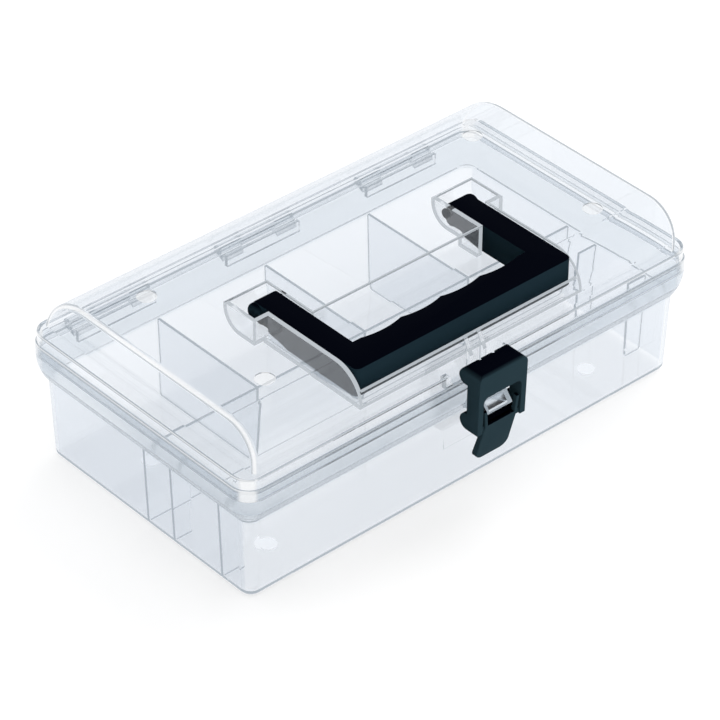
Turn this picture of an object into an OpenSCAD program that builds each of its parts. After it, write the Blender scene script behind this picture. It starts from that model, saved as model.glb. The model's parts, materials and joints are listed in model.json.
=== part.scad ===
// Clear assortment case: a compartmented base, a domed lid, a folding handle and a front latch.
// X runs along the case, -Y is the latch side and +Z is up. Sizes are in millimetres.
// Modules draw the case about the middle of its rim, and placed() moves it into the frame.

/* [Case] */
// Length of the rim, where base and lid meet
rim_length = 270; // [230:1:320]
// Depth of the rim from front to back
rim_depth = 152; // [140:1:190]
// Height of the seam between base and lid
seam_height = 58.5; // [50:0.5:70]
// Height of the lid above the seam
lid_h = 33.5; // [31:0.5:42]
// Corner radius of the rim seen from above
rim_corner_r = 10.5; // [9:0.5:16]

/* [Base] */
// Wall thickness of the base
wall_t = 1.8; // [1.4:0.1:2.4]
// Floor thickness of the base
floor_t = 2; // [1.4:0.1:3]
// Diameter of the four feet
foot_d = 8.6; // [6:0.2:9]
// Height of the feet
foot_h = 0.8; // [0.5:0.1:1.5]
// Corner radius of the body below the collar
body_corner_r = 7.5; // [6:0.5:12]
// How far each wall leans in from the collar down to the floor
body_taper = 1.7; // [0.5:0.1:3]
// Radius of the outer edge between floor and walls
floor_edge_r = 3; // [2:0.2:5]
// Height of the collar that flares out below the seam
collar_h = 14.5; // [10:0.5:18]
// How far the collar flares out
collar_flare = 4.6; // [3:0.1:6]
// Height of the lip that stands up inside the lid
lip_h = 3.3; // [2:0.1:4]
// Thickness of the lip
lip_t = 1.4; // [1:0.1:2]
// Gap between the lip and the lid's skirt
lip_gap = 0.4; // [0.3:0.05:0.8]

/* [Compartments] */
// Thickness of the compartment walls
divider_t = 1.4; // [1:0.1:2]
// Number of walls across the back row
cross_walls = 3; // [1:1:5]
// Length of the short fins on both end walls of the front compartment
fin_length = 11; // [6:0.5:16]
// Place of the fins near the long wall, as a share of the front compartment's depth
near_fin_share = 0.26; // [0.2:0.01:0.4]
// Place of the fins near the front, as a share of the front compartment's depth
far_fin_share = 0.73; // [0.55:0.01:0.85]

/* [Lid] */
// Wall thickness of the lid
lid_t = 1.6; // [1.2:0.1:2.2]
// Gap between lid and base at the seam
seam_gap = 0.2; // [0.1:0.05:0.5]
// Height of the lid's skirt from the seam to the ledge
skirt_h = 11.5; // [10:0.5:13]
// Height of the skirt's lower band, which stands proud
band_h = 6; // [5:0.5:7]
// How far the lower band stands proud
band_step = 0.9; // [0.5:0.1:1.4]
// Ledge between the rim and the dome at the front
dome_front_gap = 4; // [3:0.5:6]
// Ledge between the rim and the dome at the back
dome_back_gap = 2; // [2:0.5:6]
// Ledge between the rim and the dome at both ends
dome_end_gap = 8; // [5:0.5:12]
// Radius of the dome's front
dome_front_r = 17.2; // [14:0.2:20]
// Radius of the dome's back
dome_back_r = 31; // [22:0.5:32]
// Radius of the edges round the dome's ends
dome_edge_r = 2.5; // [2:0.1:4]
// Diameter of the stacking marks in the lid
mark_d = 9.4; // [9.2:0.1:11]
// Depth of the stacking marks
mark_depth = 0.6; // [0.3:0.1:0.9]
// Distance of the marks and feet from the ends of the rim
mark_end_gap = 37; // [32:0.5:45]
// Distance of the front marks and feet from the front of the rim
mark_front_gap = 30.8; // [27:0.1:36]
// Distance of the back marks and feet from the back of the rim
mark_back_gap = 41.2; // [36:0.1:48]

/* [Handle recess] */
// Depth of the recess below the top of the lid
recess_depth = 16.2; // [15:0.1:17]
// Depth of the pockets round the handle's pivots
head_depth = 12.5; // [11:0.1:13.5]
// Length of these pockets behind the pivot
head_back = 8.7; // [7:0.1:12]
// Length of these pockets in front of the pivot
head_front = 9; // [7:0.1:12]
// How far these pockets reach out past the arm channels
head_extra = 8; // [6:0.1:12]
// Radius at the lower back of these pockets
head_r = 9; // [6:0.5:10]
// Distance from the pivot to the back edge of the finger well
well_start = 22.3; // [18:0.1:26]
// Height of the sill in front of the bar, above the recess floor
sill_h = 6.4; // [5:0.1:7]
// Side gap between the recess walls and the handle
side_gap = 0.6; // [0.4:0.05:1]

/* [Handle] */
// Width of the handle over both arms
handle_w = 128.8; // [110:0.1:140]
// Width of each arm
arm_w = 12.8; // [10:0.1:16]
// Place of the pivot behind the middle of the case
pivot_y = 0; // [-3:0.1:3]
// How far the handle lies below the lid's surface
handle_drop = 0.6; // [0.4:0.1:1.2]
// Gap between the handle and the recess floor
floor_gap = 1.4; // [1:0.1:2]
// Depth of the grip bar from front to back
bar_depth = 22; // [18:0.1:24]
// Gap between the grip bar and the sill
bar_gap = 1; // [0.8:0.1:1.4]
// Radius of the round arm ends at the pivot
boss_r = 4.5; // [3.4:0.1:5]
// How far the round ends stand out into the pockets
boss_length = 3.6; // [2:0.1:5]
// Radius of the edge round each boss's end
boss_end_r = 1.5; // [0.6:0.1:2]
// Radius of the pivot pins
handle_pin_r = 2.5; // [2:0.05:2.8]
// How far the pins stand in past the lid's walls
handle_pin_extra = 0.8; // [0.4:0.1:1.5]
// Number of finger scallops in the grip
scallops = 4; // [2:1:5]
// Width of one scallop
scallop_w = 23.5; // [18:0.5:24]
// Depth of the scallops
scallop_depth = 1.6; // [0.8:0.1:2]
// Wall thickness of the hollow underside
handle_t = 2.2; // [1.6:0.1:2.6]
// Thickness of the handle's top skin
handle_skin_t = 2.8; // [2:0.1:3.4]
// Thickness of the ribs in the underside
handle_rib_t = 1.6; // [1.2:0.1:2.2]
// Number of hollows along the grip bar
bar_hollows = 6; // [3:1:8]
// Length of the slope under each arm's pivot end
arm_slope_l = 4; // [2:0.1:6]
// Radius of the handle's long top edges
handle_edge_r = 1.4; // [0.8:0.1:2]
// Radius of the grip bar's two front corners
handle_corner_r = 3; // [1.5:0.1:4]

/* [Latch] */
// Width of the latch
latch_w = 28.8; // [27:0.2:31]
// Pivot of the latch in front of the rim
latch_pivot_out = 6; // [5.6:0.1:6.6]
// Pivot of the latch above the seam
latch_pivot_up = 13.9; // [12.5:0.1:15]
// Radius of the round ends at the latch's pivot
latch_nose_r = 4.2; // [3.8:0.1:4.4]
// Front face of the latch in front of the rim
latch_front_out = 15.2; // [14.9:0.1:17]
// How far the front leans in between the top and the legs' ends
latch_lean = 0.8; // [0:0.1:1.2]
// Thickness of the latch's front
latch_t = 2.4; // [2:0.1:2.7]
// Thickness of the latch's top skin
latch_top_t = 1.4; // [1:0.1:1.6]
// Thickness of the latch's cheeks
latch_cheek_t = 3; // [2.4:0.1:3.4]
// Radius of the latch's top front edge
latch_edge_r = 3; // [2:0.1:4]
// Radius of the latch's top corners seen from the front
latch_corner_r = 4.5; // [3:0.1:5]
// Radius of the latch's upright edges
latch_side_r = 2; // [1:0.1:2.4]
// Depth of the legs from front to back
leg_depth = 8; // [6.5:0.1:9]
// Radius of the lobes at the lower back of the legs
lobe_r = 4.3; // [3:0.1:4.4]
// Centre of the lobes below the seam
lobe_drop = 10.1; // [9:0.1:12]
// Top of the window above the seam
window_top = 5; // [3.5:0.1:6]
// Radius of the window's top corners
window_r = 3; // [1.5:0.1:4]
// Width of the opening between the two rails beside the catch
rail_gap = 16.4; // [16:0.1:17]
// Width of each rail
rail_w = 1.4; // [1.2:0.1:1.8]
// How far each rail spreads outwards towards its top
rail_spread = 0.9; // [0:0.1:1.1]
// Top of the rails below the seam
rail_drop = 3.2; // [2:0.1:5]
// Top of the crossbar below the rails, measured from the seam down
bar_drop = 11.3; // [10:0.1:12]
// Depth of the grooves between the legs and the paddle
groove_depth = 1; // [0.5:0.1:1.5]
// Lower end of the paddle below the seam
paddle_drop = 33.6; // [28:0.2:37]
// How far the paddle leans in towards the base below the crossbar
paddle_lean = 6; // [3:0.1:7]
// Width of the paddle at its lower end
paddle_w = 19.4; // [18.4:0.2:22]
// Radius of the paddle's lower corners
paddle_r = 4.4; // [2:0.1:6]
// Thickness of the paddle
paddle_t = 2.8; // [2:0.1:3]
// Radius of the latch's pin
latch_pin_r = 1; // [0.8:0.05:1.2]

/* [Catch] */
// Width of the catch on the base
catch_w = 14.6; // [12:0.1:14.8]
// Nose of the catch in front of the rim
catch_out = 13.4; // [11:0.1:13.6]
// Top of the catch below the seam
catch_top_drop = 1; // [0.6:0.1:2]
// Underside of the catch's nose below the seam
catch_nose_drop = 6.3; // [5:0.1:7]
// Length of the sloping face on the catch's nose
catch_ramp = 4; // [2:0.1:5]
// Wall thickness of the catch
catch_t = 1.8; // [1.4:0.1:2.2]
// Half width of the notch in the skirt round the latch
notch_half_w = 17; // [15.5:0.5:20]
// Radius of the notch's lower corners
notch_r = 3; // [2:0.1:4]
// Thickness of the lugs that carry the latch
lug_t = 2; // [1.6:0.1:2.6]
// Distance of each lug from the middle
lug_x = 4; // [3:0.1:5]
// Radius of the lugs round the pin
lug_r = 2.4; // [2.2:0.05:2.5]
// How far the ribs above the lugs stand out from the dome
lug_rib_out = 2.6; // [1.5:0.1:3]

/* [Hinges] */
// Distance of the outer hinges' middles from the ends of the rim
hinge_end_gap = 48.5; // [35:0.5:60]
// Length of each hinge
hinge_l = 44; // [34:0.5:50]
// Length of the lid's knuckle in each hinge
lid_knuckle_l = 20; // [14:0.5:26]
// Gap between knuckles along the pin
knuckle_gap = 0.3; // [0.2:0.05:0.6]
// Radius of the knuckles
knuckle_r = 2.8; // [2.2:0.05:2.9]
// Distance from the rim back to the pin
hinge_out = 3.2; // [3.15:0.05:4]
// Radius of the hinge pins
hinge_pin_r = 1; // [0.8:0.05:1.2]
// Height of the webs that carry the knuckles
hinge_web_h = 5.5; // [4:0.1:6]
// Height of the pads inside the base at each hinge
hinge_pad_h = 6; // [4:0.5:10]
// Thickness of the pads inside the base at each hinge
hinge_pad_t = 2; // [1:0.1:4]
// Running gap round every pin
pin_fit = 0.05; // [0.03:0.01:0.08]

/* [Hidden] */
$fn = 72;
// Cuts run this far past the faces that they open
over = 1;
// Ribs and walls run this deep into what carries them
embed = 0.5;
// Radius of fine moulded edges and inside corners
fine_r = 0.6;
// Slope of the hollows over the grip bar's front, as a share of the dome's front radius
hollow_slope_share = 0.25;

// Rim and base
case_height = seam_height + lid_h;
rim_x = rim_length / 2;
rim_y = rim_depth / 2;
axis_x = rim_x - rim_corner_r;
axis_y = rim_y - rim_corner_r;
collar_low = seam_height - collar_h;
collar_r = (collar_h * collar_h + collar_flare * collar_flare) / (2 * collar_flare);
body_x = rim_x - collar_flare;
body_y = rim_y - collar_flare;
floor_top = foot_h + floor_t;
lip_out = rim_corner_r - lid_t - lip_gap;
lip_in = lip_out - lip_t;
wall_lean = atan(body_taper / (collar_low - foot_h));
inside_edge_r = max(floor_edge_r - wall_t, fine_r);

// Lid
skirt_low = seam_height + seam_gap;
band_top = seam_height + band_h;
ledge_z = seam_height + skirt_h;
dome_x = rim_x - dome_end_gap;
dome_front = -rim_y + dome_front_gap;
dome_back = rim_y - dome_back_gap;
dome_spring = case_height - dome_front_r;
mark_x = rim_x - mark_end_gap;
mark_places = [[-mark_x, mark_front_gap - rim_y], [mark_x, mark_front_gap - rim_y],
               [-mark_x, rim_y - mark_back_gap], [mark_x, rim_y - mark_back_gap]];

// Handle and its recess
arm_out = handle_w / 2;
arm_in = arm_out - arm_w;
channel_out = arm_out + side_gap;
channel_in = arm_in - side_gap;
head_out = channel_out + head_extra;
recess_floor = case_height - recess_depth;
head_floor = case_height - head_depth;
sill_top = recess_floor + sill_h;
well_y = pivot_y - well_start;
head_front_y = pivot_y - head_front;
head_back_y = pivot_y + head_back;
handle_top = case_height - handle_drop;
handle_low = recess_floor + floor_gap;
pivot_z = handle_top - boss_r;
bar_front = dome_front + handle_drop;
bar_back = bar_front + bar_depth;
bar_low_front = dome_front_at(sill_top, lid_t) + bar_gap;
scallop_r = (scallop_w * scallop_w / 4 + scallop_depth * scallop_depth) / (2 * scallop_depth);
arm_slope_y = head_front_y - side_gap - arm_slope_l;
hollow_top = handle_top - handle_skin_t;

// Latch and catch
latch_y = -rim_y - latch_pivot_out;
latch_z = seam_height + latch_pivot_up;
latch_front = -rim_y - latch_front_out;
latch_top = latch_z + latch_nose_r;
latch_low = seam_height - paddle_drop;
latch_in = latch_w / 2 - latch_cheek_t;
lobe_z = seam_height - lobe_drop;
leg_low = lobe_z - lobe_r;
leg_back = latch_front + leg_depth;
bar_top = seam_height - bar_drop;
rail_top = seam_height - rail_drop;
latch_pin_half = latch_w / 2 - latch_cheek_t / 2;
notch_low = band_top;
catch_front = -rim_y - catch_out;
catch_high = seam_height - catch_top_drop;
catch_low = seam_height - catch_nose_drop;

// Hinges
hinge_y = rim_y + hinge_out;
hinge_z = seam_height + seam_gap / 2;
hinge_span = rim_x - hinge_end_gap;
base_knuckle_l = (hinge_l - lid_knuckle_l) / 2 - knuckle_gap;

// The frame's origin lies under the middle of the closed case, latch and hinges included
case_y = (latch_front_out - hinge_out - knuckle_r) / 2;

// Outer half sizes of the body at a height below the collar
function wall_x(z) = body_x - body_taper * (collar_low - z) / (collar_low - foot_h);
function wall_y(z) = body_y - body_taper * (collar_low - z) / (collar_low - foot_h);
// Front of the dome at a height above the start of its curve, inset by a thickness
function dome_front_at(z, inset) = dome_front + dome_front_r
    - sqrt(pow(dome_front_r - inset, 2) - pow(z - dome_spring, 2));
// Front face of the latch at a height above the legs' ends
function latch_front_at(z) = latch_front
    + latch_lean * (latch_top - latch_edge_r - z) / (latch_top - latch_edge_r - leg_low);

module placed() {
    translate([0, case_y, 0]) children();
}

module block(low, high) {
    translate(low) cube(high - low);
}

// Runs a profile drawn in (y, z) along X, centred on x
module along_x(length, x = 0) {
    translate([x, 0, 0]) rotate([90, 0, 90]) linear_extrude(length, center = true) children();
}

// Runs a profile drawn in (x, z) along Y from one place to another
module along_y(from_y, to_y) {
    translate([0, to_y, 0]) rotate([90, 0, 0]) linear_extrude(to_y - from_y) children();
}

// Round bar along X, centred on x
module bar_x(r, length, y, z, x = 0) {
    translate([x, y, z]) rotate([0, 90, 0]) cylinder(r = r, h = length, center = true);
}

module plate(low, high) {
    translate(low) square(high - low);
}

// Rectangle from low to high whose two corners at the high end of its second axis are round
module arched_plate(low, high, r) {
    plate(low, [high[0], high[1] - r]);
    plate([low[0] + r, low[1]], [high[0] - r, high[1]]);
    for (x = [low[0] + r, high[0] - r]) {
        translate([x, high[1] - r]) circle(r);
    }
}

// Rounded box whose side is the children's profile, drawn outwards from a corner's axis
// in (distance, height), so that one edge runs round all four sides and corners
module swept_box(half_x, half_y, low, high) {
    block([-half_x, -half_y, low], [half_x, half_y, high]);
    for (turn = [0 : 3]) {
        out = turn % 2 == 0 ? half_x : half_y;
        along = turn % 2 == 0 ? half_y : half_x;
        rotate([0, 0, 90 * turn]) {
            translate([out, 0, 0]) rotate([90, 0, 0]) {
                linear_extrude(2 * along, center = true) children();
            }
            translate([out, along, 0]) rotate_extrude(angle = 90) children();
        }
    }
}

// Side of the body: a leaning wall on a round lower edge
module tub_side(top_r, low, high, edge_r) {
    foot_r = top_r - (high - low) * tan(wall_lean);
    centre = foot_r + edge_r * tan(wall_lean) - edge_r / cos(wall_lean);
    polygon([[0, low], [centre, low], [centre, low + edge_r],
             [centre + edge_r * cos(wall_lean), low + edge_r - edge_r * sin(wall_lean)],
             [top_r, high], [0, high]]);
    intersection() {
        translate([centre, low + edge_r]) circle(edge_r);
        plate([centre, low], [centre + edge_r, low + edge_r]);
    }
}

module tub(inset, low, high, edge_r) {
    swept_box(body_x - body_corner_r, body_y - body_corner_r, low, high) {
        tub_side(body_corner_r - inset + (high - collar_low) * tan(wall_lean), low, high, edge_r);
    }
}

// Side of the collar: a round flare that ends upright at the seam
module collar_side(inset, out, low, high) {
    intersection() {
        translate([rim_corner_r - collar_r, seam_height]) circle(collar_r - inset);
        plate([0, low], [out, high]);
    }
}

module base_outside() {
    tub(0, foot_h, collar_low, floor_edge_r);
    swept_box(axis_x, axis_y, collar_low, seam_height) {
        collar_side(0, rim_corner_r + over, collar_low, seam_height);
    }
    swept_box(axis_x, axis_y, seam_height - lip_t, seam_height + lip_h) {
        plate([0, seam_height - lip_t], [lip_out, seam_height + lip_h]);
    }
    latch_catch();
    latch_pad();
    feet();
    for (x = [-hinge_span, 0, hinge_span]) {
        base_knuckles(x);
    }
}

module base_inside() {
    tub(wall_t, floor_top, collar_low + wall_t, inside_edge_r);
    swept_box(axis_x, axis_y, collar_low, seam_height) {
        collar_side(wall_t, lip_in, collar_low, seam_height);
    }
    swept_box(axis_x, axis_y, seam_height - lip_t, seam_height + lip_h + over) {
        plate([0, seam_height - lip_t], [lip_in, seam_height + lip_h + over]);
    }
}

// Four feet that drop into the marks of a case below
module feet() {
    for (place = mark_places) {
        translate(place) cylinder(d = foot_d, h = foot_h + embed);
    }
}

// Catch that shows in the latch's window: a sloping nose on two cheeks, open below
module latch_catch() {
    root = collar_low + catch_t;
    difference() {
        along_x(catch_w) {
            polygon([[-body_y + wall_t, catch_high], [catch_front + catch_ramp, catch_high],
                     [catch_front, catch_low + fine_r], [catch_front, catch_low],
                     [catch_front + catch_t, catch_low], [-body_y + wall_t, root]]);
        }
        along_x(catch_w - 2 * catch_t) {
            polygon([[-rim_y, catch_high - catch_t],
                     [catch_front + catch_ramp + catch_t / 2, catch_high - catch_t],
                     [catch_front + catch_t, catch_low + fine_r],
                     [catch_front + catch_t, root - over], [-rim_y, root - over]]);
        }
    }
}

// Thin raised pad on the wall behind the latch
module latch_pad() {
    low = latch_low + catch_t;
    block([-latch_w / 2 - catch_t, -wall_y(low) - embed / 2, low],
          [latch_w / 2 + catch_t, -wall_y(low) + embed, collar_low]);
}

module base_knuckles(x) {
    for (side = [-1, 1]) {
        place = x + side * (lid_knuckle_l / 2 + knuckle_gap + base_knuckle_l / 2);
        bar_x(knuckle_r, base_knuckle_l, hinge_y, hinge_z, place);
        along_x(base_knuckle_l, place) {
            polygon([[hinge_y, hinge_z], [rim_y - wall_t, seam_height],
                     [rim_y - wall_t, hinge_z - hinge_web_h], [hinge_y, hinge_z - knuckle_r]]);
        }
    }
}

module hinge_bores() {
    for (x = [-hinge_span, 0, hinge_span]) {
        bar_x(hinge_pin_r + pin_fit, hinge_l + 2 * over, hinge_y, hinge_z, x);
    }
}

// Upright walls that split the base into one long and several small compartments
module compartment_walls() {
    low = floor_top - embed;
    reach = wall_t - embed;
    along_y(-divider_t / 2, divider_t / 2) {
        polygon([[-wall_x(low) + reach, low], [wall_x(low) - reach, low],
                 [wall_x(collar_low) - reach, collar_low], [-wall_x(collar_low) + reach, collar_low]]);
    }
    pitch = 2 * (body_x - wall_t) / (cross_walls + 1);
    for (i = [1 : cross_walls]) {
        along_x(divider_t, i * pitch - body_x + wall_t) {
            polygon([[0, low], [wall_y(low) - reach, low], [wall_y(collar_low) - reach, collar_low],
                     [0, collar_low]]);
        }
    }
    for (share = [near_fin_share, far_fin_share], side = [0, 1]) {
        y = -share * (body_y - wall_t);
        mirror([side, 0, 0]) along_y(y - divider_t / 2, y + divider_t / 2) {
            polygon([[wall_x(low) - reach, low], [wall_x(collar_low) - reach, collar_low],
                     [body_x - wall_t - fin_length, collar_low], [body_x - wall_t - fin_length, low]]);
        }
    }
}

// Thick stretches inside the collar, in front of each hinge
module hinge_pads() {
    inner = axis_y + lip_in;
    for (x = [-hinge_span, 0, hinge_span]) {
        block([x - hinge_l / 2, inner - hinge_pad_t, seam_height - hinge_pad_h],
              [x + hinge_l / 2, inner + embed, seam_height]);
    }
}

module base_tray() {
    color([0.86, 0.9, 0.93, 0.4]) placed() {
        difference() {
            base_outside();
            base_inside();
            hinge_bores();
        }
        compartment_walls();
        hinge_pads();
    }
}

// Solid with the shape of the dome, inset on all sides by a thickness
module dome(inset, low) {
    half = dome_x - inset;
    front = dome_front + inset;
    back = dome_back - inset;
    top = case_height - inset;
    front_r = dome_front_r - inset;
    back_r = dome_back_r - inset;
    edge_r = max(dome_edge_r - inset, fine_r);
    back_spring = top - back_r;
    intersection() {
        union() {
            rounded_quarter(half, front + front_r, dome_spring, front_r, edge_r, 90);
            rounded_quarter(half, back - back_r, back_spring, back_r, edge_r, 0);
            along_y(front + front_r, back - back_r) {
                arched_plate([-half, low], [half, top], edge_r);
            }
            if (dome_spring > low) {
                translate([0, front + front_r, low]) {
                    mirror([0, 1, 0]) linear_extrude(dome_spring - low) {
                        arched_plate([-half, 0], [half, front_r], edge_r);
                    }
                }
            }
            if (back_spring > low) {
                translate([0, back - back_r, low]) linear_extrude(back_spring - low) {
                    arched_plate([-half, 0], [half, back_r], edge_r);
                }
            }
        }
        block([-half - over, front - over, low], [half + over, back + over, top + over]);
    }
}

// Quarter of a drum along X with round rims, from one angle above +Y
module rounded_quarter(half, y, z, r, edge_r, start) {
    translate([0, y, z]) rotate([90, 0, 90]) rotate([0, 0, start]) rotate_extrude(angle = 90) {
        plate([0, -half + edge_r], [r, half - edge_r]);
        plate([0, -half], [r - edge_r, half]);
        for (end = [-1, 1]) {
            translate([r - edge_r, end * (half - edge_r)]) circle(edge_r);
        }
    }
}

module skirt_outside() {
    swept_box(axis_x, axis_y, skirt_low, ledge_z) {
        plate([0, skirt_low], [rim_corner_r - fine_r, band_top]);
        plate([0, skirt_low], [rim_corner_r, band_top - fine_r]);
        translate([rim_corner_r - fine_r, band_top - fine_r]) circle(fine_r);
        upper = rim_corner_r - band_step;
        plate([0, skirt_low], [upper, ledge_z - fine_r]);
        plate([0, skirt_low], [upper - fine_r, ledge_z]);
        translate([upper - fine_r, ledge_z - fine_r]) circle(fine_r);
    }
}

module skirt_inside() {
    inner_top = ledge_z - lid_t;
    step_z = seam_height + lip_h + over;
    swept_box(axis_x, axis_y, skirt_low - over, inner_top) {
        plate([0, skirt_low - over], [rim_corner_r - lid_t, step_z]);
        plate([0, skirt_low - over], [rim_corner_r - lid_t - band_step, inner_top]);
    }
}

// Plan of the handle's recess in front of the pivot pockets, grown by a wall thickness
module recess_plan(grow) {
    plate([-channel_out - grow, -rim_y], [channel_out + grow, well_y + grow]);
    for (side = [0, 1]) {
        mirror([side, 0]) plate([channel_in - grow, well_y], [channel_out + grow, head_front_y + grow]);
    }
}

// Pockets round the handle's pivots, round at their lower back, grown by a wall thickness
module pivot_pockets(grow) {
    low = head_floor - grow;
    back = head_back_y + grow;
    r = head_r + grow;
    width = head_out - channel_in + 2 * grow;
    for (side = [-1, 1]) {
        along_x(width, side * (head_out + channel_in) / 2) {
            plate([head_front_y - grow, low], [back - r, case_height + over]);
            plate([back - r, low + r], [back, case_height + over]);
            intersection() {
                translate([back - r, low + r]) circle(r);
                plate([back - r, low], [back, low + r]);
            }
        }
    }
}

module recess_walls() {
    intersection() {
        dome(0, ledge_z - lid_t);
        union() {
            translate([0, 0, recess_floor - lid_t]) linear_extrude(recess_depth + lid_t) {
                recess_plan(lid_t);
            }
            pivot_pockets(lid_t);
        }
    }
}

// The recess stays closed in front up to the sill, and is open above it
module recess_hollow() {
    intersection() {
        translate([0, 0, recess_floor]) linear_extrude(recess_depth + over) recess_plan(0);
        union() {
            dome(lid_t, ledge_z);
            block([-rim_x, -rim_y - over, sill_top], [rim_x, rim_y, case_height + over]);
        }
    }
    pivot_pockets(0);
}

// Notch in the skirt that gives the latch room, with its own floor and back
module latch_notch() {
    translate([0, 0, ledge_z + over]) mirror([0, 0, 1]) along_y(-rim_y - over, dome_front) {
        arched_plate([-notch_half_w, 0], [notch_half_w, ledge_z + over - notch_low], notch_r);
    }
}

module notch_walls() {
    block([-notch_half_w - lid_t, -rim_y + lid_t / 2, notch_low - lid_t],
          [notch_half_w + lid_t, dome_front + lid_t, ledge_z]);
}

// Lugs that carry the latch's pin, each with a rib that runs up the dome's front
module latch_lugs() {
    foot = notch_low - lid_t / 2;
    back = dome_front + lid_t / 2;
    shoulder = latch_z - 2 * lug_r;
    for (x = [-lug_x, lug_x]) {
        bar_x(lug_r, lug_t, latch_y, latch_z, x);
        along_x(lug_t, x) {
            polygon([[latch_y + lug_r * cos(225), latch_z + lug_r * sin(225)],
                     [-rim_y + lid_t / 2, foot], [back, foot], [back, shoulder],
                     [latch_y + lug_r * cos(-15), latch_z + lug_r * sin(-15)]]);
            polygon([[back, shoulder], [dome_front - lug_rib_out, shoulder - lug_rib_out],
                     [dome_front - lug_rib_out, dome_spring],
                     [dome_front_at(sill_top, 0) - embed, sill_top],
                     [dome_front_at(sill_top, lid_t / 2), sill_top],
                     [back, dome_spring]]);
        }
    }
}

module lid_knuckles() {
    for (x = [-hinge_span, 0, hinge_span]) {
        bar_x(knuckle_r, lid_knuckle_l, hinge_y, hinge_z, x);
        along_x(lid_knuckle_l, x) {
            polygon([[hinge_y, hinge_z], [hinge_y, hinge_z + knuckle_r],
                     [rim_y - lid_t / 2, seam_height + hinge_web_h],
                     [rim_y - lid_t / 2, skirt_low + fine_r]]);
        }
    }
}

module stacking_marks() {
    translate([0, 0, case_height - mark_depth]) {
        for (place = mark_places) {
            translate(place) cylinder(d = mark_d, h = mark_depth + over);
        }
    }
}

module lid() {
    color([0.88, 0.92, 0.95, 0.35]) placed() {
        difference() {
            union() {
                difference() {
                    union() {
                        difference() {
                            union() {
                                skirt_outside();
                                dome(0, ledge_z - lid_t);
                            }
                            skirt_inside();
                            dome(lid_t, ledge_z - 2 * lid_t);
                        }
                        recess_walls();
                        notch_walls();
                    }
                    recess_hollow();
                    latch_notch();
                    stacking_marks();
                }
                latch_lugs();
                lid_knuckles();
            }
            hinge_bores();
            bar_x(latch_pin_r + pin_fit, latch_w, latch_y, latch_z);
            for (side = [-1, 1]) {
                bar_x(handle_pin_r + pin_fit, lid_t + 2 * side_gap, pivot_y, pivot_z,
                      side * (channel_in - lid_t / 2));
            }
        }
    }
}

// Side of an arm: round at the pivot, cut away below it, full depth further forward
module arm_side() {
    translate([pivot_y, pivot_z]) circle(boss_r);
    polygon([[pivot_y, handle_top], [pivot_y, pivot_z - boss_r],
             [arm_slope_y + arm_slope_l, head_floor + embed], [arm_slope_y, handle_low],
             [bar_back, handle_low],
             [bar_back, handle_top]]);
}

// Side of the grip bar: its front follows the dome and steps back behind the sill
module bar_side() {
    step_z = sill_top + embed;
    intersection() {
        union() {
            plate([bar_low_front, handle_low], [bar_back + embed, handle_top]);
            plate([bar_front, step_z], [bar_back, handle_top]);
        }
        union() {
            translate([dome_front + dome_front_r, dome_spring]) circle(dome_front_r - handle_drop);
            plate([dome_front + dome_front_r, handle_low - over], [bar_back + over, handle_top]);
            plate([bar_front, handle_low - over], [bar_back, dome_spring]);
        }
    }
}

// Section of an arm, with its two long top edges rounded
module arm_section(side) {
    middle = side * (arm_out - arm_w / 2);
    arched_plate([middle - arm_w / 2, handle_low - over], [middle + arm_w / 2, handle_top],
                 handle_edge_r);
}

// Round end of an arm, standing on its inner face, with a rounded edge at its outer end
module pivot_boss(length) {
    rotate_extrude() {
        plate([0, 0], [boss_r, length - boss_end_r]);
        plate([0, 0], [boss_r - boss_end_r, length]);
        translate([boss_r - boss_end_r, length - boss_end_r]) circle(boss_end_r);
    }
}

module handle_solid() {
    for (side = [-1, 1]) {
        intersection() {
            along_x(arm_w, side * (arm_out - arm_w / 2)) arm_side();
            along_y(bar_back - over, pivot_y + boss_r + over) arm_section(side);
        }
        translate([side * (arm_out - embed), pivot_y, pivot_z]) rotate([0, side * 90, 0]) {
            pivot_boss(boss_length + embed);
        }
        bar_x(handle_pin_r, lid_t + side_gap + handle_pin_extra + embed, pivot_y, pivot_z,
              side * (arm_in - (lid_t + side_gap + handle_pin_extra - embed) / 2));
    }
    intersection() {
        along_x(handle_w) bar_side();
        along_y(bar_front - over, bar_back + over) {
            arched_plate([-arm_out, handle_low - over], [arm_out, handle_top], handle_edge_r);
        }
        translate([0, 0, handle_low - over]) mirror([0, 1, 0]) {
            linear_extrude(handle_top - handle_low + 2 * over) {
                arched_plate([-arm_out, -bar_back - over], [arm_out, -bar_front], handle_corner_r);
            }
        }
    }
}

// Round finger scallops along the inner side of the grip
module grip_scallops() {
    first = -(scallops - 1) * scallop_w / 2;
    intersection() {
        for (i = [0 : scallops - 1]) {
            translate([first + i * scallop_w, bar_back - scallop_depth + scallop_r, handle_low - over]) {
                cylinder(r = scallop_r, h = handle_top - handle_low + 2 * over);
            }
        }
        block([-arm_in, bar_front, handle_low - over], [arm_in, bar_back + over, handle_top + over]);
    }
}

// Hollows under the grip bar and the arms, with ribs left between them
module handle_hollows() {
    pitch = (handle_w - 2 * handle_t + handle_rib_t) / bar_hollows;
    front = bar_low_front + handle_t;
    back = bar_back - scallop_depth - handle_t;
    for (i = [0 : bar_hollows - 1]) {
        along_x(pitch - handle_rib_t, -arm_out + handle_t + (pitch - handle_rib_t) / 2 + i * pitch) {
            polygon([[front, handle_low - over], [front, dome_spring + handle_t],
                     [front + dome_front_r * hollow_slope_share, hollow_top], [back, hollow_top],
                     [back, handle_low - over]]);
        }
    }
    for (side = [-1, 1]) {
        middle = side * (arm_out - arm_w / 2);
        block([middle - arm_w / 2 + handle_t, bar_back + handle_rib_t, handle_low - over],
              [middle + arm_w / 2 - handle_t, arm_slope_y - handle_t, hollow_top]);
    }
}

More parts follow.
